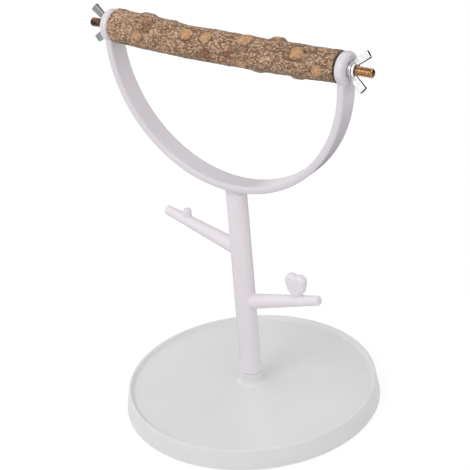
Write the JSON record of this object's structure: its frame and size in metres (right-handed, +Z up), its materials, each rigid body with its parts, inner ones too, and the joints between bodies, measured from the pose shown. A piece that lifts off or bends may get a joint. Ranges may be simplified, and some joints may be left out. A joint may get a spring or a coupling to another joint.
{
  "type": "parrot play stand",
  "caption": "Table-top bird play stand: round dish base, upright post with twigs and a heart, half-circle yoke, natural branch perch clamped by wing nuts.",
  "frame": {"origin": "centre of the plane that the soft pads stand on, on the post's axis", "axes": "+Z up along the post, +X along the perch towards the end whose twig carries the heart, +Y away from the picture's camera"},
  "size_m": [0.223, 0.183, 0.285],
  "materials": {
    "base_plastic": "satin moulded, light neutral grey-white",
    "post_plastic": "satin moulded, faintly lilac white",
    "branch_wood": "natural bark, mottled tan and brown with pale specks",
    "stud_steel": "copper-coloured passivated thread",
    "zinc_steel": "bright zinc plating",
    "pad_rubber": "matt grey foam rubber",
    "screw_steel": "plain zinc"
  },
  "bodies": {
    "stand": {"base_tray": "base_plastic", "base_pad_1": "pad_rubber", "base_pad_2": "pad_rubber", "base_pad_3": "pad_rubber", "base_pad_4": "pad_rubber", "base_screw": "screw_steel", "base_screw_washer": "screw_steel", "post": "post_plastic", "yoke": "post_plastic"},
    "perch": {"perch_branch": "branch_wood", "left_stud": "stud_steel", "right_stud": "stud_steel"},
    "right_washer": {"right_washer": "zinc_steel"},
    "right_wing_nut": {"right_wing_nut": "zinc_steel"},
    "left_washer": {"left_washer": "zinc_steel"},
    "left_wing_nut": {"left_wing_nut": "zinc_steel"}
  },
  "joints": [
    {"name": "perch_turn", "type": "hinge", "parent": "stand", "child": "perch", "pos_m": [0, 0, 0.2715], "axis": [1, 0, 0], "continuous": true},
    {"name": "right_washer_slide", "type": "slide", "parent": "perch", "child": "right_washer", "axis": [1, 0, 0], "range_m": [0, 0.009]},
    {"name": "right_wing_nut_turn", "type": "hinge", "parent": "right_washer", "child": "right_wing_nut", "pos_m": [0.098, 0, 0.2715], "axis": [1, 0, 0], "range_deg": [0, 3240]},
    {"name": "left_washer_slide", "type": "slide", "parent": "perch", "child": "left_washer", "axis": [-1, 0, 0], "range_m": [0, 0.008]},
    {"name": "left_wing_nut_turn", "type": "hinge", "parent": "left_washer", "child": "left_wing_nut", "pos_m": [-0.098, 0, 0.2715], "axis": [-1, 0, 0], "range_deg": [0, 2880]}
  ],
  "couplings": [
    {"joint": "right_wing_nut_turn", "follows": "right_washer_slide", "rad_per_m": 6282.6},
    {"joint": "left_wing_nut_turn", "follows": "left_washer_slide", "rad_per_m": 6282.6}
  ]
}
